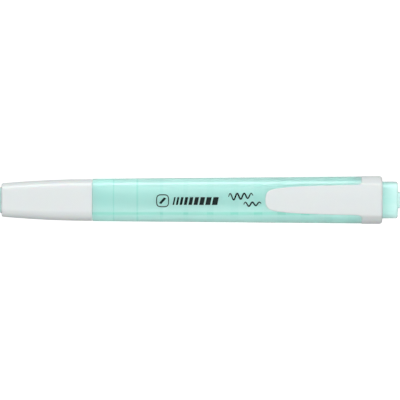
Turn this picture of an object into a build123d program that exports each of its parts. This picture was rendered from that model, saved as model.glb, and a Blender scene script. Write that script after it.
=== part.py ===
"""Pocket highlighter with a pull-off cap, a chisel nib and a flexing clip.

The pen lies on its flat back along X, cap towards -X, clip side up (+Z). The origin is the middle of
the pen's footprint on the surface it rests on. All sizes are in millimetres.
"""

from build123d import *

import math
import os

# ---------------------------------------------------------------- driving dimensions
OVERALL_LENGTH = 134.0
# stations along X, from the cap's closed end to the rear plug
CAP_HEAD_PROUD = 0.55  # the coloured head stands out of the cap's closed end by this much
CAP_END_X = CAP_HEAD_PROUD - OVERALL_LENGTH / 2
CAP_MOUTH_X = -36.1
BARREL_FRONT_X = -36.0
BARREL_REAR_X = 54.0  # shoulder against which the clip band sits
BAND_REAR_X = 60.95
PLUG_END_X = 66.2
BOSS_END_X = OVERALL_LENGTH / 2

# barrel: a flattened tube, thicker and wider towards the rear
BARREL_FRONT_SIZE = (14.2, 10.8)  # width along Y, thickness along Z
BARREL_REAR_SIZE = (15.75, 12.0)
BARREL_WALL = 1.15
BARREL_EDGE_RADIUS = 0.18
WALL_ROOT = 0.2  # how far ribs and shelves run into the wall that they stand on
BACK_PLANE_Z = 0.1  # flat land on the barrel's back, just above the band's
BACK_LAND_DEPTH = 0.08
AXIS_Z = BACK_PLANE_Z - BACK_LAND_DEPTH + BARREL_FRONT_SIZE[1] / 2  # nib, nozzle, reservoir and cap
REAR_AXIS_Z = BACK_PLANE_Z - BACK_LAND_DEPTH + BARREL_REAR_SIZE[1] / 2  # neck and rear plug
RIB_PITCH = 7.8
RIB_COUNT = 9
FIRST_RIB_X = -28.2
RIB_HEIGHT = 0.35
RIB_WIDTHS = (0.9, 2.2)  # narrow at the front, wider to the rear
FIN_THICKNESS = 0.8
FIN_OFFSET_Z = 1.6
FIN_FRONT_X = -27.0
FIN_REAR_X = 46.0
FIN_TO_FILM_GAP = 0.15
NECK_SIZE = (14.0, 10.2)
NECK_BORE_SIZE = (11.8, 8.1)
NECK_REAR_X = 59.85
NECK_ROOT = 0.5  # how far the neck runs into the barrel's rear wall

# clip band and clip arm, moulded together and split here at the line where the arm flexes
BAND_RING_SIZE = (16.0, 12.2)
BAND_FORM_THICKNESS = 20.0  # of the oval that the plateau's shoulders are cut from
BAND_TOP_Z = 14.42
BAND_CROWN_RADIUS = 22.0
BAND_SHOULDER_RATIO = 0.78  # radius of the sloping shoulders, as a share of the band's width
BAND_CREASE_RADIUS = 1.0
BAND_BORE_SIZE = (14.1, 10.3)
BAND_FLANGE_SIZE = (11.85, 8.15)
BAND_FLANGE_X = 59.95
BAND_EDGE_RADIUS = 0.75
CLIP_TIP_X = 21.75
CLIP_ROOT_X = BARREL_REAR_X
CLIP_THICKNESS = 1.35
CLIP_LEAN_DEG = 1.15  # the arm leans towards the barrel
CLIP_ROOT_FILLET = 1.5
CLIP_ROOT_HALF_WIDTH = 5.1
CLIP_RAMP_LENGTH = 4.2  # the underside rises towards the nose, so that a pocket's edge slides in
CLIP_RAMP_RISE = 0.7
NUB_X = 26.0  # the ridge under the clip's tip that bears on the barrel
NUB_RADIUS = 1.6
NUB_LENGTH = 5.0
NUB_ROOT = 0.2  # how far the ridge runs into the arm
NUB_GAP = 0.12

# rear plug, on which the cap can be posted
PLUG_HEAD_SIZE = (12.3, 8.95)
PLUG_STEM_SIZE = (11.7, 8.0)
PLUG_STEM_FRONT_X = 47.0
PLUG_WALL = 1.0
PLUG_END_WALL = 1.3
PLUG_EDGE_RADIUS = 0.65
PLUG_LEAD_IN = 0.35
PLUG_BEAD_X = 52.4
PLUG_BEAD_PROUD = 0.15
PLUG_BEAD_WIDTH = 0.8
BOSS_DIAMETER = 5.6
BOSS_RECESS_DIAMETER = 3.4
BOSS_RECESS_DEPTH = 0.25
BOSS_EDGE_RADIUS = 0.3
BOSS_ROOT = 0.5

# cap: an oval thimble that narrows in a long arc to its closed end
CAP_MOUTH_SIZE = (13.93, 10.55)
CAP_END_SIZE = (11.15, 8.75)
CAP_WALL = 0.78
CAP_END_WALL = 0.95
CAP_EDGE_RADIUS = 0.45
CAP_MOUTH_RADIUS = 0.22
CAP_HEAD_SIZE = (8.8, 5.7)
CAP_HEAD_EDGE_RADIUS = 0.3

# inner cap: the sleeve that closes over the nozzle and keeps the nib wet
SLEEVE_MOUTH_X = -46.9
SLEEVE_STEP_X = -55.8
SLEEVE_OUTER_RADII = (3.9, 3.65)  # at the mouth, past the step
SLEEVE_BORE_RADII = (3.25, 3.05)
SLEEVE_BORE_STEP_X = -55.0
SLEEVE_END_X = -64.2
SLEEVE_FLANGE_SIZE = (9.5, 6.7)

# nib holder: the front section that plugs the barrel and carries the cap
HOLDER_SPIGOT_SIZE = (11.78, 8.38)
HOLDER_SPIGOT_REAR_X = -29.0
HOLDER_SEAT_SIZE = (12.1, 8.75)
HOLDER_SEAT_FRONT_X = -43.0
HOLDER_BEAD_X = -40.2
HOLDER_BEAD_PROUD = 0.1
HOLDER_BEAD_WIDTH = 0.9
HOLDER_SHOULDER_SIZE = (7.0, 6.6)
HOLDER_ROOT = 0.2  # how far the spigot runs into the seat
NOZZLE_REAR_X = -46.6
NOZZLE_FRONT_X = -53.5
NOZZLE_RADII = (3.2, 3.0)
NOZZLE_BEAD_X = -50.2
NOZZLE_BEAD_PROUD = 0.11
NOZZLE_BEAD_WIDTH = 0.9
NOZZLE_BEAD_EDGE_RADIUS = 0.1
NOZZLE_EDGE_RADIUS = 0.35
NOZZLE_ROOT = 0.4
AIR_CHANNEL_SIZE = (0.8, 0.6)

# nib and reservoir
NIB_SIZE = (4.4, 3.0)
NIB_CORNER_RADIUS = 0.55
NIB_TIP_X = -59.2
NIB_BODY_REAR_X = -43.6
NIB_TAIL_REAR_X = -39.0
NIB_TAIL_RADIUS = 1.4
NIB_SLANT_DEG = 30.0  # the writing edge leans back from square by this much
NIB_WEDGE_DEG = 34.0  # angle between the nib's two bevels
NIB_EDGE_BLUNT = 0.35  # half the thickness of the writing edge
NIB_TAIL_TAPER = 0.7
SOCKET_CLEARANCE = 0.2  # left at the end of the nib's tail
RESERVOIR_FRONT_X = -42.4
RESERVOIR_REAR_X = 46.4
RESERVOIR_RADIUS = 3.35
FILM_THICKNESS = 0.12
FILM_SETBACK = 0.3  # the film stops short of the fibre bar's ends
FIT_GAP = 0.03  # between parts that slide together at assembly
LIP = 1.0  # how far a cutting tool runs past the face it opens
REACH = 20.0  # half-width of a cutting tool that spans the whole pen


# ---------------------------------------------------------------- sections
def oval(x, size, centre_z, inset=0.0, side_ratio=0.56):
    """Closed section across the pen at x: crowned faces, tight corners and bowed sides, all tangent arcs.

    The radii follow the width, so larger sections keep the same character. inset moves the whole
    outline inwards by an even wall, and a larger side_ratio flattens the sides.
    """
    width, thickness = size
    half_w = width / 2 - inset
    half_t = thickness / 2 - inset
    face_r = 4.2 * width - inset
    side_r = side_ratio * width - inset
    corner_r = 0.215 * width - inset

    # The corner's centre is where a circle about the face's centre meets one about the side's centre.
    face_centre = Vector(0, half_t - face_r)
    side_centre = Vector(half_w - side_r, 0)
    to_face = face_r - corner_r
    to_side = side_r - corner_r
    between = side_centre - face_centre
    along = (to_face**2 - to_side**2 + between.length**2) / (2 * between.length)
    across = math.sqrt(to_face**2 - along**2)
    unit = between.normalized()
    corner_centre = face_centre + unit * along + Vector(unit.Y, -unit.X) * across

    on_face = face_centre + (corner_centre - face_centre).normalized() * face_r
    on_side = side_centre + (corner_centre - side_centre).normalized() * side_r
    outwards = (on_face + on_side) * 0.5 - corner_centre
    on_corner = corner_centre + outwards.normalized() * corner_r

    def at(point, sign_y, sign_z):
        return (point.X * sign_y, point.Y * sign_z)

    edges = []
    for sign_y, sign_z in ((1, 1), (-1, 1), (-1, -1), (1, -1)):
        corner = [at(point, sign_y, sign_z) for point in (on_side, on_corner, on_face)]
        if sign_y == sign_z:
            edges.append(ThreePointArc(*corner))
            edges.append(ThreePointArc(corner[2], (0, half_t * sign_z), at(on_face, -sign_y, sign_z)))
        else:
            edges.append(ThreePointArc(*reversed(corner)))
            edges.append(ThreePointArc(corner[0], (half_w * sign_y, 0), at(on_side, sign_y, -sign_z)))
    across_pen = Plane(origin=(x, 0, centre_z), x_dir=(0, 1, 0), z_dir=(1, 0, 0))
    return across_pen * Face(Wire(edges))


def prism(x_start, x_end, size, centre_z, inset=0.0):
    """Straight oval bar between two stations."""
    return extrude(oval(x_start, size, centre_z, inset), x_end - x_start, dir=(1, 0, 0))


def rod(x_start, x_end, radius_start, radius_end=None, centre_z=AXIS_Z):
    """Round bar or cone along the pen's axis."""
    radius_end = radius_start if radius_end is None else radius_end
    length = x_end - x_start
    middle = ((x_start + x_end) / 2, 0, centre_z)
    if math.isclose(radius_start, radius_end):
        shape = Cylinder(radius_start, length)
    else:
        shape = Cone(radius_start, radius_end, length)
    return Plane(origin=middle, x_dir=(0, 1, 0), z_dir=(1, 0, 0)) * shape


def block(low, high):
    """Box between two corner points."""
    size = [b - a for a, b in zip(low, high)]
    middle = [(a + b) / 2 for a, b in zip(low, high)]
    return Pos(*middle) * Box(*size)


def bead(x, size, centre_z, proud, width):
    """Low rounded ridge around an oval bar, for a snap fit."""
    raised = [value + 2 * proud for value in size]
    half = width / 2
    sections = [oval(x - half, size, centre_z), oval(x, raised, centre_z), oval(x + half, size, centre_z)]
    return loft(sections[:2], ruled=True) + loft(sections[1:], ruled=True)


def edges_at(part, x, tolerance=0.01):
    """Edges that lie in the plane across the pen at x."""
    return part.edges().filter_by_position(Axis.X, x - tolerance, x + tolerance)


# ---------------------------------------------------------------- barrel
def barrel_size(x):
    share = (x - BARREL_FRONT_X) / (BARREL_REAR_X - BARREL_FRONT_X)
    return [a + (b - a) * share for a, b in zip(BARREL_FRONT_SIZE, BARREL_REAR_SIZE)]


def barrel_section(x, inset=0.0):
    """The barrel's section, its back kept level while it thickens to the rear."""
    size = barrel_size(x)
    centre_z = BACK_PLANE_Z - BACK_LAND_DEPTH + size[1] / 2
    return oval(x, size, centre_z, inset)


def barrel_slice(x_start, x_end, inset=0.0):
    return loft([barrel_section(x_start, inset), barrel_section(x_end, inset)], ruled=True)


def barrel_ribs():
    """Low rings inside the wall that keep the thin tube round."""
    ribs = Part()
    for index in range(RIB_COUNT):
        width = RIB_WIDTHS[0] + (RIB_WIDTHS[1] - RIB_WIDTHS[0]) * index / (RIB_COUNT - 1)
        start = FIRST_RIB_X + index * RIB_PITCH
        rim = barrel_slice(start, start + width, BARREL_WALL - WALL_ROOT)
        ribs += rim - barrel_slice(start - LIP, start + width + LIP, BARREL_WALL + RIB_HEIGHT)
    return ribs


def barrel_fins():
    """Two long shelves down each side that hold the round reservoir in the middle of the oval bore."""
    fins = Part()
    half_width = BARREL_REAR_SIZE[0]
    for side in (-1, 1):
        middle_z = AXIS_Z + side * FIN_OFFSET_Z
        low = (FIN_FRONT_X, -half_width, middle_z - FIN_THICKNESS / 2)
        high = (FIN_REAR_X, half_width, middle_z + FIN_THICKNESS / 2)
        fins += block(low, high)
    fins = fins & barrel_slice(FIN_FRONT_X, FIN_REAR_X, BARREL_WALL - WALL_ROOT)
    film_radius = RESERVOIR_RADIUS + FIT_GAP + FILM_THICKNESS
    return fins - rod(FIN_FRONT_X - LIP, FIN_REAR_X + LIP, film_radius + FIN_TO_FILM_GAP)


def make_barrel():
    shell = barrel_slice(BARREL_FRONT_X, BARREL_REAR_X)
    shell -= block((BARREL_FRONT_X - LIP, -REACH, -LIP), (BARREL_REAR_X + LIP, REACH, BACK_PLANE_Z))
    shell = fillet(edges_at(shell, BARREL_FRONT_X), BARREL_EDGE_RADIUS)
    shell += prism(BARREL_REAR_X - NECK_ROOT, NECK_REAR_X, NECK_SIZE, REAR_AXIS_Z)
    shell -= barrel_slice(BARREL_FRONT_X - LIP, BARREL_REAR_X - BARREL_WALL, BARREL_WALL)
    shell -= prism(BARREL_REAR_X - 2 * LIP, NECK_REAR_X + LIP, NECK_BORE_SIZE, REAR_AXIS_Z)
    return shell + barrel_ribs() + barrel_fins()


# ---------------------------------------------------------------- clip
def raised_form(x_start, x_end):
    """The crowned plateau and sloping shoulders that the band and the arm share."""
    tall = (BAND_RING_SIZE[0], BAND_FORM_THICKNESS)
    section = oval(x_start, tall, REAR_AXIS_Z, side_ratio=BAND_SHOULDER_RATIO)
    form = extrude(section, x_end - x_start, dir=(1, 0, 0))
    form &= rod(x_start, x_end, BAND_CROWN_RADIUS, centre_z=BAND_TOP_Z - BAND_CROWN_RADIUS)
    form &= block((x_start, -REACH, REAR_AXIS_Z), (x_end, REACH, BAND_TOP_Z + LIP))
    creases = form.edges().filter_by(Axis.X).sort_by(Axis.Z)[-2:]
    return fillet(creases, BAND_CREASE_RADIUS)


def make_clip_band():
    """Collar that slips over the barrel's neck and is trapped by the rear plug's head."""
    band = prism(BARREL_REAR_X, BAND_REAR_X, BAND_RING_SIZE, REAR_AXIS_Z)
    band += raised_form(BARREL_REAR_X, BAND_REAR_X)
    band = fillet(edges_at(band, BAND_REAR_X), BAND_EDGE_RADIUS)
    band -= prism(BARREL_REAR_X - LIP, BAND_FLANGE_X, BAND_BORE_SIZE, REAR_AXIS_Z)
    band -= prism(BARREL_REAR_X, BAND_REAR_X + LIP, BAND_FLANGE_SIZE, REAR_AXIS_Z)
    return band - block((BARREL_REAR_X - LIP, -REACH, -LIP), (BAND_REAR_X + LIP, REACH, 0))


def clip_outline():
    """The arm seen from above: a blunt nose, sides that open slowly, and flared roots."""
    tip_x = CLIP_TIP_X
    nose = (tip_x, 0)
    shoulder = (tip_x + 4.4, 3.92)
    flare_start = (CLIP_ROOT_X - CLIP_ROOT_FILLET, CLIP_ROOT_HALF_WIDTH)
    flare_end = (CLIP_ROOT_X, CLIP_ROOT_HALF_WIDTH + CLIP_ROOT_FILLET)
    half = Curve() + [
        Bezier(nose, (tip_x, 2.75), (tip_x + 1.1, 3.45), shoulder),
        Bezier(shoulder, (tip_x + 9.5, 4.62), (tip_x + 17, 4.85), flare_start),
        RadiusArc(flare_start, flare_end, -CLIP_ROOT_FILLET),
        Line(flare_end, (CLIP_ROOT_X, 0)),
    ]
    return make_face(half + mirror(half, Plane.XZ))


def clip_side_profile():
    """The arm's underside seen from the side, with a ramp under the nose that lets a pocket's edge in."""
    underside = BAND_TOP_Z - CLIP_THICKNESS
    points = [
        (CLIP_TIP_X - LIP, underside + CLIP_RAMP_RISE),
        (CLIP_TIP_X - LIP + CLIP_RAMP_LENGTH, underside),
        (CLIP_ROOT_X, underside),
        (CLIP_ROOT_X, BAND_TOP_Z + LIP),
        (CLIP_TIP_X - LIP, BAND_TOP_Z + LIP),
    ]
    return Plane.XZ * make_face(Polyline(*points, close=True))


def make_clip_arm():
    """Springy tongue that grips a pocket's edge against the barrel. Its crown runs on from the band's."""
    slab = extrude(clip_side_profile(), BAND_RING_SIZE[0] / 2, both=True)
    outline = extrude(clip_outline(), 2 * BAND_TOP_Z, dir=(0, 0, 1))
    arm = raised_form(CLIP_TIP_X - LIP, CLIP_ROOT_X) & slab & outline
    root = Pos(CLIP_ROOT_X, 0, BAND_TOP_Z)
    arm = root * Rot(0, -CLIP_LEAN_DEG, 0) * root.inverse() * arm
    arm &= block((CLIP_TIP_X - LIP, -REACH, 0), (CLIP_ROOT_X, REACH, 2 * BAND_TOP_Z))

    barrel_top = BACK_PLANE_Z - BACK_LAND_DEPTH + barrel_size(NUB_X)[1]
    nub_middle_z = barrel_top + NUB_GAP + NUB_RADIUS
    nub = Pos(NUB_X, 0, nub_middle_z) * Rot(90, 0, 0) * Cylinder(NUB_RADIUS, NUB_LENGTH)
    low = (NUB_X - NUB_LENGTH, -NUB_LENGTH, barrel_top)
    high = (NUB_X + NUB_LENGTH, NUB_LENGTH, nub_middle_z + NUB_ROOT)
    nub &= block(low, high)
    return arm + nub


# ---------------------------------------------------------------- rear plug
def make_rear_plug():
    """Stopper that closes the barrel, holds the band and carries the posted cap."""
    head = prism(BAND_REAR_X, PLUG_END_X, PLUG_HEAD_SIZE, REAR_AXIS_Z)
    head = fillet(edges_at(head, PLUG_END_X), PLUG_EDGE_RADIUS)
    stem = prism(PLUG_STEM_FRONT_X, BAND_REAR_X, PLUG_STEM_SIZE, REAR_AXIS_Z)
    stem = chamfer(edges_at(stem, PLUG_STEM_FRONT_X), PLUG_LEAD_IN)
    boss = rod(PLUG_END_X - BOSS_ROOT, BOSS_END_X, BOSS_DIAMETER / 2, centre_z=REAR_AXIS_Z)
    boss = fillet(edges_at(boss, BOSS_END_X), BOSS_EDGE_RADIUS)
    recess_front = BOSS_END_X - BOSS_RECESS_DEPTH
    boss -= rod(recess_front, BOSS_END_X + LIP, BOSS_RECESS_DIAMETER / 2, centre_z=REAR_AXIS_Z)
    plug = head + stem + boss
    plug += bead(PLUG_BEAD_X, PLUG_STEM_SIZE, REAR_AXIS_Z, PLUG_BEAD_PROUD, PLUG_BEAD_WIDTH)
    hollow_rear = PLUG_END_X - PLUG_END_WALL
    return plug - prism(PLUG_STEM_FRONT_X - LIP, hollow_rear, PLUG_STEM_SIZE, REAR_AXIS_Z, PLUG_WALL)


# ---------------------------------------------------------------- cap
def cap_section(x, inset=0.0):
    """The cap's section, narrowing from the mouth along a long arc."""
    share = (CAP_MOUTH_X - x) / (CAP_MOUTH_X - CAP_END_X)
    size = [mouth - (mouth - end) * share * abs(share) for mouth, end in zip(CAP_MOUTH_SIZE, CAP_END_SIZE)]
    return oval(x, size, AXIS_Z, inset)


def cap_form(x_mouth, x_end, inset, stations=6):
    step = (x_end - x_mouth) / (stations - 1)
    return loft([cap_section(x_mouth + step * index, inset) for index in range(stations)])


def make_cap_shell():
    shell = cap_form(CAP_MOUTH_X, CAP_END_X, 0.0)
    shell = fillet(edges_at(shell, CAP_END_X), CAP_EDGE_RADIUS)
    shell = fillet(edges_at(shell, CAP_MOUTH_X), CAP_MOUTH_RADIUS)
    shell -= cap_form(CAP_MOUTH_X + LIP / 2, CAP_END_X + CAP_END_WALL, CAP_WALL)
    return shell - prism(CAP_END_X - LIP, CAP_END_X + 2 * LIP, CAP_HEAD_SIZE, AXIS_Z)


def make_inner_cap():
    """Sealing sleeve in the ink's colour. Its head shows through the cap's closed end."""
    head_size = [value - 2 * FIT_GAP for value in CAP_HEAD_SIZE]
    head_end_x = -OVERALL_LENGTH / 2
    flange_front_x = CAP_END_X + CAP_END_WALL
    head = prism(head_end_x, flange_front_x, head_size, AXIS_Z)
    head = fillet(edges_at(head, head_end_x), CAP_HEAD_EDGE_RADIUS)
    flange = prism(flange_front_x, SLEEVE_END_X, SLEEVE_FLANGE_SIZE, AXIS_Z)
    sleeve = rod(SLEEVE_END_X, SLEEVE_STEP_X, SLEEVE_OUTER_RADII[1])
    sleeve += rod(SLEEVE_STEP_X, SLEEVE_MOUTH_X, SLEEVE_OUTER_RADII[0])
    body = head + flange + sleeve
    body -= rod(SLEEVE_END_X, SLEEVE_MOUTH_X, SLEEVE_BORE_RADII[1])
    return body - rod(SLEEVE_BORE_STEP_X, SLEEVE_MOUTH_X + LIP, SLEEVE_BORE_RADII[0])


# ---------------------------------------------------------------- nib holder, nib and reservoir
def nib_bar(x_start, x_end, grow=0.0):
    """Round-cornered rectangular bar on the pen's axis."""
    across_pen = Plane(origin=(x_start, 0, AXIS_Z), x_dir=(0, 1, 0), z_dir=(1, 0, 0))
    width, thickness = [value + grow for value in NIB_SIZE]
    section = across_pen * RectangleRounded(width, thickness, NIB_CORNER_RADIUS + grow / 2)
    return extrude(section, x_end - x_start, dir=(1, 0, 0))


def make_nib_holder():
    spigot = prism(BARREL_FRONT_X - HOLDER_ROOT, HOLDER_SPIGOT_REAR_X, HOLDER_SPIGOT_SIZE, AXIS_Z)
    seat = prism(HOLDER_SEAT_FRONT_X, BARREL_FRONT_X, HOLDER_SEAT_SIZE, AXIS_Z)
    seat += bead(HOLDER_BEAD_X, HOLDER_SEAT_SIZE, AXIS_Z, HOLDER_BEAD_PROUD, HOLDER_BEAD_WIDTH)
    shoulder_end = oval(NOZZLE_REAR_X, HOLDER_SHOULDER_SIZE, AXIS_Z)
    shoulder = loft([shoulder_end, oval(HOLDER_SEAT_FRONT_X, HOLDER_SEAT_SIZE, AXIS_Z)], ruled=True)
    nozzle = rod(NOZZLE_FRONT_X, NOZZLE_REAR_X + NOZZLE_ROOT, NOZZLE_RADII[1], NOZZLE_RADII[0])
    nozzle = fillet(edges_at(nozzle, NOZZLE_FRONT_X), NOZZLE_EDGE_RADIUS)
    ring_radius = NOZZLE_RADII[0] + NOZZLE_BEAD_PROUD / 3
    seal_ring = rod(NOZZLE_BEAD_X, NOZZLE_BEAD_X + NOZZLE_BEAD_WIDTH, ring_radius)
    nozzle += fillet(seal_ring.edges(), NOZZLE_BEAD_EDGE_RADIUS)
    holder = spigot + seat + shoulder + nozzle
    film_radius = RESERVOIR_RADIUS + FIT_GAP + FILM_THICKNESS
    holder -= rod(RESERVOIR_FRONT_X, HOLDER_SPIGOT_REAR_X + LIP, film_radius + FIT_GAP)
    holder -= nib_bar(NOZZLE_FRONT_X - LIP, RESERVOIR_FRONT_X + LIP, 2 * FIT_GAP)
    half_width, half_depth = [value / 2 for value in AIR_CHANNEL_SIZE]
    for side in (-1, 1):  # air channels beside the nib let air in as ink leaves
        middle_z = AXIS_Z + side * NIB_SIZE[1] / 2
        low = (NOZZLE_FRONT_X - LIP, -half_width, middle_z - half_depth)
        high = (RESERVOIR_FRONT_X + LIP, half_width, middle_z + half_depth)
        holder -= block(low, high)
    return holder


def make_nib():
    """Chisel nib: a flat bar with two bevels that meet in a slanted writing edge, and a round tail."""
    bar = nib_bar(NIB_TIP_X, NIB_BODY_REAR_X)
    tip_corner = (NIB_TIP_X, -NIB_SIZE[0] / 2, AXIS_Z)
    for side in (-1, 1):
        cutter = Pos(0, 0, NIB_EDGE_BLUNT + REACH / 2) * Box(2 * REACH, 2 * REACH, REACH)
        tilted = Rot(0, 0, -NIB_SLANT_DEG) * Rot(0, -NIB_WEDGE_DEG / 2, 0) * cutter
        if side < 0:
            tilted = mirror(tilted, Plane.XY)
        bar -= Pos(*tip_corner) * tilted
    slanted_end = Rot(0, 0, -NIB_SLANT_DEG) * Pos(-REACH / 2, 0, 0) * Box(REACH, 2 * REACH, REACH)
    bar -= Pos(*tip_corner) * slanted_end
    return bar + rod(NIB_BODY_REAR_X, NIB_TAIL_REAR_X, NIB_TAIL_RADIUS, NIB_TAIL_RADIUS * NIB_TAIL_TAPER)


def make_reservoir_core():
    core = rod(RESERVOIR_FRONT_X, RESERVOIR_REAR_X, RESERVOIR_RADIUS)
    socket_radius = NIB_TAIL_RADIUS + FIT_GAP
    return core - rod(RESERVOIR_FRONT_X - LIP, NIB_TAIL_REAR_X + SOCKET_CLEARANCE, socket_radius)


def make_reservoir_film():
    inner = RESERVOIR_RADIUS + FIT_GAP
    outer = inner + FILM_THICKNESS
    sleeve = rod(RESERVOIR_FRONT_X + FILM_SETBACK, RESERVOIR_REAR_X - FILM_SETBACK, outer)
    return sleeve - rod(RESERVOIR_FRONT_X, RESERVOIR_REAR_X, inner)


# ---------------------------------------------------------------- files
MAKERS = {
    "barrel": make_barrel,
    "nib_holder": make_nib_holder,
    "nib": make_nib,
    "reservoir_core": make_reservoir_core,
    "reservoir_film": make_reservoir_film,
    "rear_plug": make_rear_plug,
    "clip_band": make_clip_band,
    "clip_arm": make_clip_arm,
    "cap_shell": make_cap_shell,
    "inner_cap": make_inner_cap,
}

os.makedirs("parts", exist_ok=True)
for name, maker in MAKERS.items():
    export_step(maker(), f"parts/{name}.step")
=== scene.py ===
# %% [markdown]
# # A capped pocket highlighter
# The pen is a flattened mint tube with a pale grey cap, a grey clip moulded on a collar, and a mint plug
# at its rear. The CAD frame already holds every working part at its real size, so this lesson gives those
# parts their finishes, moulds the clip as the one piece that it really is, prints a graphic on the barrel,
# and lights the pen on a pale table.

# %% Load the frame
import math

import bmesh
import bpy
from mathutils import Matrix, Vector
from mathutils.bvhtree import BVHTree


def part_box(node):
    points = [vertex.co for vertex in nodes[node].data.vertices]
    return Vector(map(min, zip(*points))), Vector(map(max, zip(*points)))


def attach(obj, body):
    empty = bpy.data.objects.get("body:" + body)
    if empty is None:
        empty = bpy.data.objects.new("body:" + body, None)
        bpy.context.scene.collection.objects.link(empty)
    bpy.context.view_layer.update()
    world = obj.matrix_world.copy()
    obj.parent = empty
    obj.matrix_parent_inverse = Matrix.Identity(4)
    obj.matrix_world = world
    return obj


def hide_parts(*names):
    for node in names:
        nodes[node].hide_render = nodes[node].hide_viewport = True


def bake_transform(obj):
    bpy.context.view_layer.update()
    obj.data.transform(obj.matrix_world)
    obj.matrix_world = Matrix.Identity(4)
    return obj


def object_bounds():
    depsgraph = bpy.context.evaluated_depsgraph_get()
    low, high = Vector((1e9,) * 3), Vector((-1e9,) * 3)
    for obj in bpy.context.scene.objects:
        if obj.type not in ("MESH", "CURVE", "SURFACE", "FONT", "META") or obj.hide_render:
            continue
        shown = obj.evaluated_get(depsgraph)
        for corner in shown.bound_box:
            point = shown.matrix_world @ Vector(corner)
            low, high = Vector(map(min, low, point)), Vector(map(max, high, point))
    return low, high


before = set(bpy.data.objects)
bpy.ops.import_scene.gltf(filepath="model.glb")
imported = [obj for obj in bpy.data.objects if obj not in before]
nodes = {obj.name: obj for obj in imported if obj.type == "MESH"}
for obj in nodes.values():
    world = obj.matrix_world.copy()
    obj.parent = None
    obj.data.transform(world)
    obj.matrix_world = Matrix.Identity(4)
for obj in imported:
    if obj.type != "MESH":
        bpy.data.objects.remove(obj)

MM = 0.001  # the frame is in metres, and pens are thought of in millimetres
cad_low, cad_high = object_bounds()
print("parts:", ", ".join(sorted(nodes)))
print("pen length in mm:", round((cad_high.x - cad_low.x) / MM, 2))

# %% [markdown]
# ## Helpers for every finish
# Shaders work in linear light, while colours are usually picked as sRGB hex codes, so one function turns
# the one into the other. A second adds a node to a material: a dictionary names its sockets, and each gets
# a plain value or a link. A third starts an empty material and hands over the part's own coordinates, which
# every pattern below is measured in.

# %% Colour and node helpers
def linear(hex_code):
    """Turn an sRGB hex colour into linear RGBA."""
    channels = [int(hex_code[i : i + 2], 16) / 255 for i in (1, 3, 5)]
    return [c / 12.92 if c <= 0.04045 else ((c + 0.055) / 1.055) ** 2.4 for c in channels] + [1.0]


def add(tree, kind, inputs=None, **settings):
    """Add a node with its settings and inputs. An input that is a node links by its first output."""
    made = tree.nodes.new(kind)
    for name, value in settings.items():
        setattr(made, name, value)
    for name, value in (inputs or {}).items():
        if isinstance(value, bpy.types.Node):
            value = next(output for output in value.outputs if output.enabled)
        if isinstance(value, bpy.types.NodeSocket):
            tree.links.new(value, made.inputs[name])
        else:
            made.inputs[name].default_value = value
    return made


def start_material(name):
    """Make an empty node material and return it with its tree and the part's own coordinates."""
    material = bpy.data.materials.new(name)
    material.use_nodes = True
    tree = material.node_tree
    tree.nodes.clear()
    return material, tree, add(tree, "ShaderNodeTexCoord").outputs["Object"]


print("sRGB #808080 in linear light:", round(linear("#808080")[0], 3))

# %% [markdown]
# ## What shows through the barrel
# The barrel's wall is about a millimetre of pale plastic, so what stands behind it shows as a slightly
# deeper tint: the rings that stiffen the tube, and a long shelf that holds the reservoir. The rings repeat
# at an even pitch and widen to the rear, so one pattern of the part's own coordinates draws them all: the
# position along one pitch is compared with a width that grows along the pen. The first rings show across
# the whole face. Further back the film round the reservoir veils them, except over the shelf. The stripe
# along the shelf is partly the shelf behind the wall and partly painted shade. Of the four shelves, only
# the upper one on the side away from the lamps gets it, as a darker band where that shoulder turns into
# shade.
# The lit side gets none.

# %% Rings and the shelf
RING_PITCH = 7.85 * MM
FIRST_RING_X = -29.1 * MM
FIRST_RING_WIDTH, LAST_RING_WIDTH = 0.05, 0.36  # as shares of the pitch
RING_GROWTH = 50 * MM  # the length over which the rings widen
RING_SOFTNESS = 0.03  # the blur at a ring's edges, as a share of the pitch
CLEAR_RING, VEILED_RING = 0.4, 0.08  # how deep a ring's tint is before and behind the film
VEIL_START, VEIL_END = 9 * MM, 18 * MM  # where the film begins to veil, from the first ring
# The shelf stripe is painted shade on the side away from the lamps, over a shelf seen through the wall.
SHADED_SHELF_Y = -4.5 * MM
SHELF_HALF, SHELF_FADE = 0.15 * MM, 0.85 * MM  # from its middle: where the full tint and its fade end
SHELF_SHADE_TINT = 0.65  # between the rings, and 1 where a ring crosses


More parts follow.
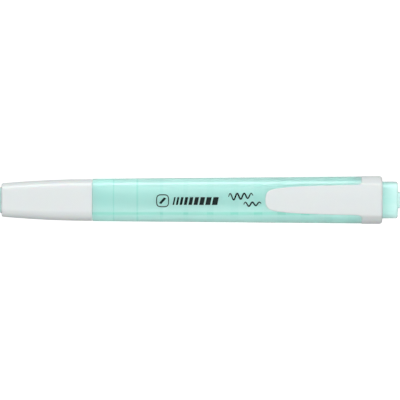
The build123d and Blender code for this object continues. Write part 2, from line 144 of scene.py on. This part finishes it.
def rings_and_painted_shelf_shade(tree, place):
    """How much the rings behind the wall and the painted shade along one shelf deepen its tint, 0 to 1."""
    axes = add(tree, "ShaderNodeSeparateXYZ", {"Vector": place})
    along = add(tree, "ShaderNodeMath", {0: axes.outputs["X"], 1: FIRST_RING_X}, operation="SUBTRACT")
    pitches = add(tree, "ShaderNodeMath", {0: along, 1: RING_PITCH}, operation="DIVIDE")
    phase = add(tree, "ShaderNodeMath", {0: pitches}, operation="FRACT")
    growth = {"Value": along, "From Min": 0.0, "From Max": RING_GROWTH}
    growth |= {"To Min": FIRST_RING_WIDTH, "To Max": LAST_RING_WIDTH}
    width = add(tree, "ShaderNodeMapRange", growth, interpolation_type="SMOOTHSTEP")
    inside = add(tree, "ShaderNodeMath", {0: width, 1: phase}, operation="SUBTRACT")
    edge = {"Value": inside, "From Min": -RING_SOFTNESS, "From Max": RING_SOFTNESS}
    ring = add(tree, "ShaderNodeMapRange", edge, interpolation_type="SMOOTHSTEP")
    veil = {"Value": along, "From Min": VEIL_START, "From Max": VEIL_END}
    veil |= {"To Min": CLEAR_RING, "To Max": VEILED_RING}
    tint = add(tree, "ShaderNodeMapRange", veil, interpolation_type="SMOOTHSTEP")
    on_face = add(tree, "ShaderNodeMath", {0: ring, 1: tint}, operation="MULTIPLY")

    # Painted shade: a darker stripe along the one shelf on the side away from the lamps, deepest where a
    # ring crosses.
    across = add(tree, "ShaderNodeMath", {0: axes.outputs["Y"], 1: SHADED_SHELF_Y}, operation="SUBTRACT")
    from_shelf = add(tree, "ShaderNodeMath", {0: across}, operation="ABSOLUTE")
    fade = {"Value": from_shelf, "From Min": SHELF_HALF, "From Max": SHELF_FADE}
    fade |= {"To Min": 1.0, "To Max": 0.0}
    shelf_shade = add(tree, "ShaderNodeMapRange", fade, interpolation_type="SMOOTHSTEP")
    deeper = {"Value": ring, "To Min": SHELF_SHADE_TINT, "To Max": 1.0}
    crossing = add(tree, "ShaderNodeMapRange", deeper, interpolation_type="SMOOTHSTEP")
    on_shelf_shade = add(tree, "ShaderNodeMath", {0: shelf_shade, 1: crossing}, operation="MULTIPLY")
    return add(tree, "ShaderNodeMath", {0: on_face, 1: on_shelf_shade}, operation="MAXIMUM")


# %% [markdown]
# ## Pastel polypropylene
# The barrel, plug, nib holder and inner cap are injection-moulded polypropylene with a little mint pigment.
# A thin wall of it glows: light passes through, bounces about inside the pen and comes out again, so the
# side that faces away from the lamps is almost as bright as the face. A Translucent shader lets light
# through the wall, and a Principled shader mixed with it gives the milky scatter of the pigment near the
# surface. A wall has two surfaces in the mesh and would be tinted twice, so only the surface by which light
# goes in has a colour, and the one by which it leaves the plastic is clear.
#
# The gloss of the polished mould is a Glossy shader over both, with as much strength as Fresnel gives a
# plastic of IOR 1.49. It is left off where light leaves the plastic, because there it would throw most of
# the glow back inside. Shallow sink marks from the mould break up the gloss a little, and a finer grain
# keeps it from looking like glass. The nib holder and the inner cap are thicker and sit in the dark, so
# their variant lets nothing through, and only its milky surface shows.

# %% Polypropylene
SINK_MARK = 3.0 * MM  # how far apart the mould's shallow sink marks lie
MOULD_GRAIN = 0.4 * MM  # the mould's polish is finer, and this is as coarse as it needs to be to show
GRAIN_HEIGHT = 0.002 * MM
PLASTIC_IOR = 1.49
MILK_DEPTH = 1.0 * MM  # how far light wanders in the pigment before it comes out


def moulded_polypropylene(name, colour, deep, glow, roughness=0.1, share_through=0.6, pattern=None):
    """Milky plastic: colour and glow where the wall is plain, and deep where the pattern says."""
    material, tree, place = start_material(name)
    flow = add(tree, "ShaderNodeMapping", {"Vector": place, "Scale": (0.25, 1.0, 1.0)})
    sink = add(tree, "ShaderNodeTexNoise", {"Vector": flow, "Scale": 1 / SINK_MARK, "Detail": 2.0})
    grain = add(tree, "ShaderNodeTexNoise", {"Vector": place, "Scale": 1 / MOULD_GRAIN, "Detail": 2.0})
    polish = {"Value": sink, "From Min": 0.2, "From Max": 0.8}
    polish |= {"To Min": roughness - 0.01, "To Max": roughness + 0.02}
    gloss = add(tree, "ShaderNodeMapRange", polish, interpolation_type="SMOOTHSTEP")
    relief = add(tree, "ShaderNodeBump", {"Height": grain, "Strength": 0.1, "Distance": GRAIN_HEIGHT})
    cloudy = {"Value": sink, "From Min": 0.2, "From Max": 0.8, "To Max": 0.2}
    depth = (
        pattern(tree, place)
        if pattern
        else add(tree, "ShaderNodeMapRange", cloudy, interpolation_type="SMOOTHSTEP")
    )
    leaving = add(tree, "ShaderNodeNewGeometry").outputs["Backfacing"]

    pigment = {"Factor": depth, "A": linear(colour), "B": linear(deep)}
    skin = {
        "Base Color": add(tree, "ShaderNodeMix", pigment, data_type="RGBA"),
        "Roughness": gloss,
        "IOR": PLASTIC_IOR,
        "Subsurface Weight": 1.0,
        "Subsurface Radius": (1.0, 1.0, 1.0),
        "Subsurface Scale": MILK_DEPTH,
        "Normal": relief,
    }
    milky = add(tree, "ShaderNodeBsdfPrincipled", skin)
    wall_glow = {"Factor": depth, "A": linear(glow), "B": linear(deep)}
    entered = add(tree, "ShaderNodeMix", wall_glow, data_type="RGBA")
    tinted_once = {"Factor": leaving, "A": entered, "B": linear("#FFFFFF")}
    passed = add(tree, "ShaderNodeMix", tinted_once, data_type="RGBA")
    through = add(tree, "ShaderNodeBsdfTranslucent", {"Color": passed})
    share = share_through
    if share_through:
        share = add(tree, "ShaderNodeMath", {0: leaving, 1: share_through}, operation="MAXIMUM")
    wall = add(tree, "ShaderNodeMixShader", {0: share, 1: milky, 2: through})

    fresnel = add(tree, "ShaderNodeFresnel", {"IOR": PLASTIC_IOR, "Normal": relief})
    outside = add(tree, "ShaderNodeMath", {0: 1.0, 1: leaving}, operation="SUBTRACT")
    mirror = add(tree, "ShaderNodeMath", {0: fresnel, 1: outside}, operation="MULTIPLY")
    shine = {"Color": linear("#FFFFFF"), "Roughness": gloss, "Normal": relief}
    shiny = add(tree, "ShaderNodeBsdfGlossy", shine)
    whole = add(tree, "ShaderNodeMixShader", {0: mirror, 1: wall, 2: shiny})
    add(tree, "ShaderNodeOutputMaterial", {"Surface": whole})
    return material


MINT = "#CCFEF6"
# MINT_DEEP tints the rings, the sink marks and the painted shade along one shelf.
MINT_DEEP = "#A6EDE1"
MINT_GLOW = "#E9FDF9"  # the tint that light keeps after one pass through a wall
TINTS = (MINT, MINT_DEEP, MINT_GLOW)
barrel_plastic = moulded_polypropylene("polypropylene_moulded_mint", *TINTS, pattern=rings_and_painted_shelf_shade)
plug_plastic = moulded_polypropylene("polypropylene_polished_mint", *TINTS, roughness=0.09)
holder_plastic = moulded_polypropylene("polypropylene_opaque_mint", *TINTS, share_through=0.0)
print("made", barrel_plastic.name, plug_plastic.name, holder_plastic.name)

# %% [markdown]
# ## Opaque grey plastic
# The cap and the clip need a stiffer, opaque plastic, moulded in ABS: white pigment with a trace of blue
# grey, and a satin polish. White pigment scatters light within half a millimetre, so a small share of
# subsurface is enough to soften the edges. The sheen varies a little, as moulded skins do.

# %% ABS
ABS_SINK_MARK = 4.0 * MM
ABS_GRAIN = 0.3 * MM  # drawn as coarse as it needs to be to show


def moulded_abs(name, colour, roughness=0.24):
    """Opaque satin plastic of one colour."""
    material, tree, place = start_material(name)
    flow = add(tree, "ShaderNodeMapping", {"Vector": place, "Scale": (0.3, 1.0, 1.0)})
    sink = add(tree, "ShaderNodeTexNoise", {"Vector": flow, "Scale": 1 / ABS_SINK_MARK, "Detail": 2.0})
    grain = add(tree, "ShaderNodeTexNoise", {"Vector": place, "Scale": 1 / ABS_GRAIN, "Detail": 3.0})
    polish = {"Value": sink, "From Min": 0.2, "From Max": 0.8}
    polish |= {"To Min": roughness - 0.01, "To Max": roughness + 0.01}
    relief = add(tree, "ShaderNodeBump", {"Height": grain, "Strength": 0.15, "Distance": GRAIN_HEIGHT})
    skin = {
        "Base Color": linear(colour),
        "Roughness": add(tree, "ShaderNodeMapRange", polish, interpolation_type="SMOOTHSTEP"),
        "IOR": 1.53,
        "Subsurface Weight": 0.15,
        "Subsurface Scale": 0.5 * MM,
        "Normal": relief,
    }
    add(tree, "ShaderNodeOutputMaterial", {"Surface": add(tree, "ShaderNodeBsdfPrincipled", skin)})
    return material


cap_plastic = moulded_abs("abs_moulded_pale_grey", "#EBF1F1")
print("made", cap_plastic.name)

# %% [markdown]
# ## Fibre and film
# The nib is a bar of pressed polyester felt and the reservoir a bundle of straight fibres, both soaked in
# mint ink. Fibres run along the pen, so a noise stretched along X gives their streaks, in the colour as
# well as in the relief. The felt is denser and finer than the bundle. A clear film holds the bundle. It is
# so thin that it hardly bends light, so a low alpha stands in for glass and keeps the barrel bright.

# %% Felt, fibre bundle and film
def inked_fibre(name, light, dark, thread_mm, stretch, roughness):
    """Threads of about thread_mm across, stretch times as long, soaked in ink."""
    material, tree, place = start_material(name)
    drawn = add(tree, "ShaderNodeMapping", {"Vector": place, "Scale": (1 / stretch, 1.0, 1.0)})
    threads = add(
        tree, "ShaderNodeTexNoise", {"Vector": drawn, "Scale": 1 / (thread_mm * MM), "Detail": 4.0}
    )
    contrast = {"Value": threads, "From Min": 0.35, "From Max": 0.65}
    strand = add(tree, "ShaderNodeMapRange", contrast, interpolation_type="SMOOTHSTEP")
    dye = {"Factor": strand, "A": linear(dark), "B": linear(light)}
    fibre = {
        "Base Color": add(tree, "ShaderNodeMix", dye, data_type="RGBA"),
        "Roughness": roughness,
        "IOR": 1.45,
        "Sheen Weight": 0.2,
        "Normal": add(tree, "ShaderNodeBump", {"Height": strand, "Strength": 0.5, "Distance": 0.04 * MM}),
    }
    add(tree, "ShaderNodeOutputMaterial", {"Surface": add(tree, "ShaderNodeBsdfPrincipled", fibre)})
    return material


def clear_film(name, colour):
    """A thin clear sleeve, with wrinkles of a millimetre or two in its gloss."""
    material, tree, place = start_material(name)
    wrinkle = add(tree, "ShaderNodeTexNoise", {"Vector": place, "Scale": 1 / (1.5 * MM), "Detail": 2.0})
    sheen = {"Value": wrinkle, "From Min": 0.2, "From Max": 0.8, "To Min": 0.1, "To Max": 0.3}
    sleeve = {
        "Base Color": linear(colour),
        "Roughness": add(tree, "ShaderNodeMapRange", sheen, interpolation_type="SMOOTHSTEP"),
        "IOR": PLASTIC_IOR,
        "Alpha": 0.15,
    }
    add(tree, "ShaderNodeOutputMaterial", {"Surface": add(tree, "ShaderNodeBsdfPrincipled", sleeve)})
    return material


felt = inked_fibre("polyester_felt_inked", "#A5EBDD", "#6FCDBB", 0.12, stretch=6, roughness=0.85)
bundle = inked_fibre("polyester_bundle_inked", "#CDF5EC", "#B0E6DA", 0.2, stretch=30, roughness=0.9)
film = clear_film("polypropylene_film_clear", "#F2FCFA")
print("made", felt.name, bundle.name, film.name)

# %% [markdown]
# ## Dress the CAD parts
# The parts that CAD already shapes right keep their meshes and only change material.

# %% Assign the finishes
FINISHES = {
    "barrel": barrel_plastic,
    "rear_plug": plug_plastic,
    "nib_holder": holder_plastic,
    "inner_cap": holder_plastic,
    "nib": felt,
    "reservoir_core": bundle,
    "reservoir_film": film,
    "cap_shell": cap_plastic,
}
for name, material in FINISHES.items():
    nodes[name].data.materials.clear()
    nodes[name].data.materials.append(material)
print("dressed", len(FINISHES), "parts")

# %% [markdown]
# ## The clip, moulded in one
# CAD splits the clip at its root, because a joint needs two bodies, but the real one is a single moulding
# whose arm bends. So both parts are copied into one mesh, the arm's root is pushed a little into the
# collar, and a voxel remesh melts them together into an even skin of small faces. A few rounds of
# smoothing then give the skin the soft edges that a mould has, with a fillet where the arm meets the
# collar.

# %% Melt collar and arm together
ROOT_OVERLAP = 0.7 * MM
SKIN_FACE = 0.16 * MM
EDGE_ROUNDS = 7
HAIR = 0.01 * MM  # closer than this to the root's plane, a vertex belongs to the root
SAME_SPOT = 0.001 * MM
root_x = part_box("clip_arm")[1].x
raw = bmesh.new()
raw.from_mesh(nodes["clip_arm"].data)
for vert in raw.verts:
    if vert.co.x > root_x - HAIR:
        vert.co.x += ROOT_OVERLAP
raw.from_mesh(nodes["clip_band"].data)
bmesh.ops.remove_doubles(raw, verts=raw.verts, dist=SAME_SPOT)
rough = bpy.data.meshes.new("clip_rough")
raw.to_mesh(rough)
raw.free()
rough_clip = bpy.data.objects.new("clip_rough", rough)
bpy.context.scene.collection.objects.link(rough_clip)
melt = rough_clip.modifiers.new("melt", "REMESH")
melt.mode = "VOXEL"
melt.voxel_size = SKIN_FACE
soften = rough_clip.modifiers.new("soften", "SMOOTH")
soften.factor = 0.5
soften.iterations = EDGE_ROUNDS
skin = bpy.data.meshes.new_from_object(rough_clip.evaluated_get(bpy.context.evaluated_depsgraph_get()))
bpy.data.objects.remove(rough_clip)
skin.name = "clip_moulding"
skin.materials.clear()
skin.materials.append(cap_plastic)
skin.shade_smooth()
clip = bpy.data.objects.new("clip_moulding", skin)
bpy.context.scene.collection.objects.link(clip)
print("clip faces:", len(skin.polygons), "size in mm:", [round(side / MM, 2) for side in clip.dimensions])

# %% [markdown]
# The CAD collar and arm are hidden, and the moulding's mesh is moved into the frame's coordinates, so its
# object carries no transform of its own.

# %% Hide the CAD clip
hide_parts("clip_band", "clip_arm")
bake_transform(clip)

# %% [markdown]
# ## The printed graphic
# A pad print is a film of dark ink a few hundredths of a millimetre thick. It could be drawn in the
# barrel's material, but it is real geometry here, so that it catches the light at its edges and stays with
# the mesh: every shape is a ribbon that follows a path on the barrel, with its points dropped on to the
# surface. The motif is plain: a framed chisel stroke, bars for the widths the nib can draw, and waves.

# %% Drop a point on the barrel
INK_HEIGHT = 0.03 * MM  # the ink's top above the plastic
INK_SINK = 0.01 * MM  # and its underside below it, so that no gap shows
barrel_mesh = nodes["barrel"].data
barrel_surface = BVHTree.FromPolygons(
    [v.co for v in barrel_mesh.vertices], [p.vertices for p in barrel_mesh.polygons]
)


def on_barrel(x, y, lift):
    """The point at x, y (in millimetres) on the barrel's upper face, lifted by a little."""
    above = Vector((x * MM, y * MM, cad_high.z + MM))
    hit = barrel_surface.ray_cast(above, Vector((0, 0, -1)))[0]
    return hit + Vector((0, 0, lift))


print("the ink lies at a height in mm of", round(on_barrel(0, 0, INK_HEIGHT).z / MM, 2))

# %% [markdown]
# A ribbon is a row of cross-sections. Each has a few points across its top and as many below, and joining
# every section to the next gives a closed solid, with an end cap where the path doesn't close on itself.

# %% Lay a ribbon along a path
def ribbon(ink, path, half_widths, across=None, closed=False, strands=4):
    """Lay ink along a path of (x, y) millimetres, as a closed solid; across fixes the ends' direction."""
    count = len(path)
    rows = []
    for index, (point, half_width) in enumerate(zip(path, half_widths)):
        before = Vector(path[index - 1 if closed or index else 0])
        after = Vector(path[(index + 1) % count if closed else min(index + 1, count - 1)])
        side = Vector(across) if across else (after - before).orthogonal().normalized()
        spots = [Vector(point) + side * half_width * (2 * k / strands - 1) for k in range(strands + 1)]
        top = [ink.verts.new(on_barrel(*spot, INK_HEIGHT)) for spot in spots]
        bottom = [ink.verts.new(on_barrel(*spot, -INK_SINK)) for spot in spots]
        rows.append(top + bottom[::-1])
    pairs = list(zip(rows, rows[1:])) + ([(rows[-1], rows[0])] if closed else [])
    for row, following in pairs:
        for k in range(len(row)):
            n = (k + 1) % len(row)
            ink.faces.new((row[k], row[n], following[n], following[k]))
    if not closed:
        for row in (rows[0][::-1], rows[-1]):
            for k in range(strands):
                ink.faces.new((row[k], row[k + 1], row[-2 - k], row[-1 - k]))


# %% [markdown]
# The frame is a superellipse, which is a circle whose corners are pushed out towards a square. The bars
# lean like italics, and each is a little wider than the one before it.

# %% Frame and stroke
ink = bmesh.new()
FRAME_CENTRE = (-12.5, -0.25)  # this and the sizes below are in millimetres
FRAME_HALF = 2.0
FRAME_SQUARENESS = 0.6  # 1 is a circle, and 0 a square
FRAME_POINTS = 72
FRAME_LINE_HALF = 0.17
turns = [2 * math.pi * k / FRAME_POINTS for k in range(FRAME_POINTS)]
frame_path = [
    tuple(
        c + FRAME_HALF * math.copysign(abs(wave(turn)) ** FRAME_SQUARENESS, wave(turn))
        for c, wave in zip(FRAME_CENTRE, (math.cos, math.sin))
    )
    for turn in turns
]
ribbon(ink, frame_path, [FRAME_LINE_HALF] * len(frame_path), closed=True)

STROKE_REACH = (0.85, 0.95)  # from the frame's centre to the stroke's upper end
STROKE_HALF = 0.42
NIB_ANGLE = (0.94, -0.34)  # the chisel's edge, along which both ends of the stroke are cut
stroke = [
    tuple(c + reach * share for c, reach in zip(FRAME_CENTRE, STROKE_REACH))
    for share in (-1, -0.5, 0, 0.5, 1)
]
ribbon(ink, stroke, [STROKE_HALF] * len(stroke), across=NIB_ANGLE)
print("frame and stroke:", len(ink.faces), "faces")

# %% Bars
BAR_LOW, BAR_HIGH, BAR_LEAN = -1.65, 0.95, 0.55
BARS = 9
FIRST_BAR_HALF, BAR_GROWTH = 0.26, 0.08
BAR_GAP = 0.56
bar_x = -8.9
for number in range(BARS):
    half_width = FIRST_BAR_HALF + BAR_GROWTH * number
    middle = bar_x + half_width
    bar = [
        (middle + BAR_LEAN * (share - 0.5), BAR_LOW + (BAR_HIGH - BAR_LOW) * share)
        for share in (0, 0.25, 0.5, 0.75, 1)
    ]
    ribbon(ink, bar, [half_width] * len(bar), across=(1, 0))
    bar_x += 2 * half_width + BAR_GAP
print("bars end at", round(bar_x, 2), "mm")

# %% [markdown]
# The waves are drawn with a brush's swelling line: thin at both ends and full in the middle.

# %% Waves
WAVE_STEPS = 60
WAVE_FADE = 0.35  # how much lower the last wave is than the first
THIN_HALF, SWELL = 0.11, 0.15
for start_x, end_x, middle_y, rise, height, waves in (
    (9.5, 17.7, 1.25, 0.5, 1.15, 3.5),
    (14.6, 20.4, -1.35, 0.3, 0.75, 2.5),
):
    wave_path = []
    wave_widths = []
    for step in range(WAVE_STEPS + 1):
        share = step / WAVE_STEPS
        swing = height * math.sin(2 * math.pi * waves * share) * (1 - WAVE_FADE * share)
        wave_path.append((start_x + (end_x - start_x) * share, middle_y + rise * (share - 0.5) + swing))
        wave_widths.append(THIN_HALF + SWELL * math.sin(math.pi * share) ** 0.5)
    ribbon(ink, wave_path, wave_widths)
bmesh.ops.recalc_face_normals(ink, faces=ink.faces)
print_mesh = bpy.data.meshes.new("barrel_print")
ink.to_mesh(print_mesh)
ink.free()
barrel_print = bpy.data.objects.new("barrel_print", print_mesh)
bpy.context.scene.collection.objects.link(barrel_print)
print("print faces:", len(print_mesh.polygons))

# %% [markdown]
# Pad ink is a dark green-black lacquer with a matting agent, so it shines less than its IOR alone would
# give. The pad leaves it slightly uneven, so a fine noise varies both its colour and its gloss.

# %% Ink
ink_material, tree, place = start_material("pad_ink_dark_green_black")
mottle = add(tree, "ShaderNodeTexNoise", {"Vector": place, "Scale": 1 / (0.5 * MM), "Detail": 3.0})
spread = {"Value": mottle, "From Min": 0.3, "From Max": 0.7}
unevenness = add(tree, "ShaderNodeMapRange", spread, interpolation_type="SMOOTHSTEP")
satin = spread | {"To Min": 0.38, "To Max": 0.5}
shades = {"Factor": unevenness, "A": linear("#061414"), "B": linear("#0C2422")}
lacquer = {
    "Base Color": add(tree, "ShaderNodeMix", shades, data_type="RGBA"),
    "Roughness": add(tree, "ShaderNodeMapRange", satin, interpolation_type="SMOOTHSTEP"),
    "IOR": 1.5,
    "Specular IOR Level": 0.2,
}
add(tree, "ShaderNodeOutputMaterial", {"Surface": add(tree, "ShaderNodeBsdfPrincipled", lacquer)})
print_mesh.materials.append(ink_material)
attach(barrel_print, "barrel")
print("made", ink_material.name)

# %% [markdown]
# ## A pale table
# The pen lies on a matt white table. Part of its brightness is its own, as on a light table, so it stays
# pale up to the edges with only a faint shadow where the pen touches it. It is left out of what the pen
# reflects, which keeps the pen's lower sides as dark as a shaded studio would.

# %% Table
TABLE_SIZE = 20.0  # metres, far past every edge of the picture
bpy.ops.mesh.primitive_plane_add(size=TABLE_SIZE, location=(0, 0, 0))
table = bpy.context.object
table.name = "pale_table"
table_white, tree, place = start_material("table_matt_white")
fleck = add(tree, "ShaderNodeTexNoise", {"Vector": place, "Scale": 1 / (2.0 * MM), "Detail": 2.0})
matt = {"Value": fleck, "From Min": 0.2, "From Max": 0.8, "To Min": 0.85, "To Max": 0.95}
top = {
    "Base Color": linear("#959595"),
    "Roughness": add(tree, "ShaderNodeMapRange", matt, interpolation_type="SMOOTHSTEP"),
    "Emission Color": linear("#FFFFFF"),
    "Emission Strength": 0.85,
}
add(tree, "ShaderNodeOutputMaterial", {"Surface": add(tree, "ShaderNodeBsdfPrincipled", top)})
table.data.materials.append(table_white)
table.visible_diffuse = False
table.visible_glossy = False
table.visible_transmission = False
print("table size in m:", tuple(table.dimensions)[:2])

# %% [markdown]
# A light panel lies under the table, like the lamp of a light table. Only light that comes through the
# pen's translucent parts can see it, so it fills the barrel and the plug with an even glow and leaves the
# opaque grey parts alone.

# %% Light panel
PANEL_SIZE = 2.0  # metres
bpy.ops.mesh.primitive_plane_add(size=PANEL_SIZE, location=(0, 0, -1 * MM))
panel = bpy.context.object
panel.name = "light_panel"
panel_light, tree = start_material("panel_diffuser_lit")[:2]
shining = add(tree, "ShaderNodeEmission", {"Color": linear("#FFFFFF"), "Strength": 2.1})
add(tree, "ShaderNodeOutputMaterial", {"Surface": shining})
panel.data.materials.append(panel_light)
for kind in ("camera", "diffuse", "glossy", "shadow"):
    setattr(panel, "visible_" + kind, False)
print("panel under the table at z in mm:", round(panel.location.z / MM, 1))

# %% [markdown]
# ## Soft light
# Four softboxes stand round the pen. A bank overhead lights it evenly, and a narrower strip in its middle
# lifts the crowned faces. A strong bank far down on the far side draws the highlight along the upper
# shoulder, and a weak strip on the near side opens up the shade below. All are area lamps, and the bigger
# a lamp is, the softer its shadow. A little white light from all round fills what no lamp reaches.

# %% Softboxes
LAMP_DISTANCE = 0.6  # metres, as are the lamps' sizes
LAMP_LENGTH = 0.9


def softbox(name, tilt_deg, depth, watts):
    """A rectangular softbox above the pen, tilted from overhead towards +Y by tilt_deg."""
    data = bpy.data.lights.new(name, "AREA")
    data.shape = "RECTANGLE"
    data.size, data.size_y = LAMP_LENGTH, depth
    data.energy = watts
    lamp = bpy.data.objects.new(name, data)
    bpy.context.scene.collection.objects.link(lamp)
    turn = Matrix.Rotation(-math.radians(tilt_deg), 4, "X")
    lamp.matrix_world = turn @ Matrix.Translation((0, 0, LAMP_DISTANCE))
    return lamp


lamps = [
    softbox("overhead_bank", tilt_deg=-16, depth=0.95, watts=1.65),
    softbox("overhead_strip", tilt_deg=-18, depth=0.32, watts=0.95),
    softbox("far_bank", tilt_deg=74, depth=0.34, watts=3.0),
    softbox("near_strip", tilt_deg=-60, depth=0.16, watts=0.5),
]
world = bpy.data.worlds.new("studio")
bpy.context.scene.world = world
world.use_nodes = True
surroundings = world.node_tree.nodes["Background"].inputs
surroundings["Color"].default_value = linear("#FFFFFF")
surroundings["Strength"].default_value = 0.25
print("softboxes in watts:", {lamp.name: round(lamp.data.energy, 2) for lamp in lamps})

# %% [markdown]
# ## The camera
# A long lens straight above the pen gives almost no perspective, as in a catalogue. The pen's length fills
# the picture's width, so the distance follows from the lens and the sensor.

# %% Camera
camera_data = bpy.data.cameras.new("camera")
camera_data.lens = 400
camera_data.sensor_width = 36
camera_data.clip_end = 10
camera = bpy.data.objects.new("camera", camera_data)
bpy.context.scene.collection.objects.link(camera)
pen_length = cad_high.x - cad_low.x
middle_height = (cad_low.z + cad_high.z) / 2
distance = pen_length * camera_data.lens / camera_data.sensor_width
camera.location = (0, 0, middle_height + distance)
bpy.context.scene.camera = camera
bpy.context.scene.view_settings.view_transform = "Standard"
print("camera height in m:", round(camera.location.z, 3))
